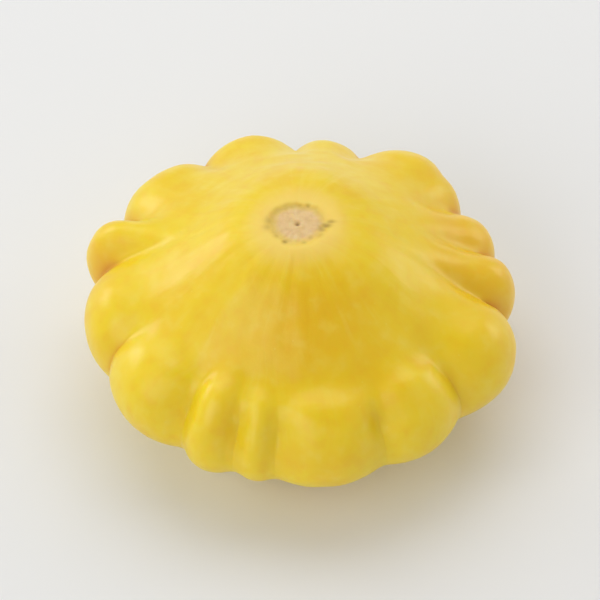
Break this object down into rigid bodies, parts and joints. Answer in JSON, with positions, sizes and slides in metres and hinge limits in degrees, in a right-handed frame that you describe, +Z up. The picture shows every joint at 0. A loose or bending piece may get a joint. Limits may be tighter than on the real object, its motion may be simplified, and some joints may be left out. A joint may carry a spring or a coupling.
{
  "type": "pattypan squash",
  "caption": "Yellow pattypan squash: a flattened, domed fruit with a scalloped rim of rounded lobes, a corky blossom scar on top and a trimmed stem stub underneath.",
  "frame": {"origin": "on the level surface that the fruit stands on, under the middle of the fruit's box", "axes": "+Z up along the fruit's own axis, from the stalk to the blossom scar; -Y towards the side with the two narrowest lobes"},
  "size_m": [0.0536, 0.0528, 0.03],
  "materials": {
    "skin": "smooth, waxy satin skin of a ripe yellow summer squash",
    "stalk": "green, fibrous cut stalk"
  },
  "bodies": {
    "root": {"fruit": "skin", "stem_stub": "stalk"}
  },
  "joints": []
}
